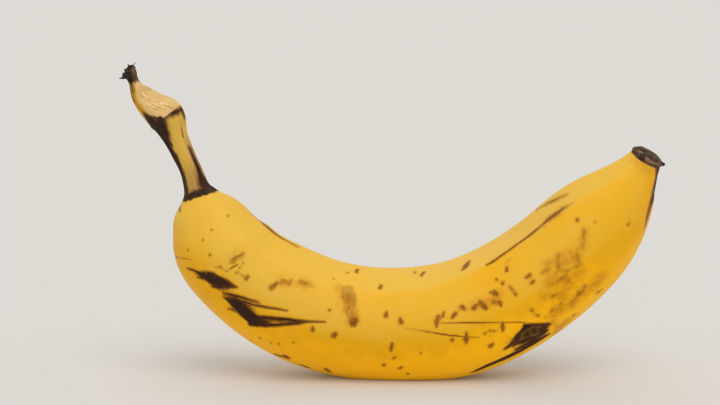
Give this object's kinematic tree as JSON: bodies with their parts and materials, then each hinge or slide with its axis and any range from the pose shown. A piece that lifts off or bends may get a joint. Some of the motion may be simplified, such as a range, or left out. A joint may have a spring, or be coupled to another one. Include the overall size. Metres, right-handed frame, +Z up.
{
  "type": "banana",
  "caption": "Ripe curved fruit with a ridged yellow peel, a dark dry stem with a torn crown and a dark scar at the other end, lying on its outer curve.",
  "frame": {"origin": "centre of the bounding box in plan, at the plane the fruit rests on", "axes": "+X along the fruit from the stem to the blossom end, +Z up, -Y towards the front"},
  "size_m": [0.1752, 0.036, 0.1039],
  "materials": {
    "peel": "waxy satin peel of a ripe banana"
  },
  "bodies": {
    "root": {"banana": "peel"}
  },
  "joints": []
}
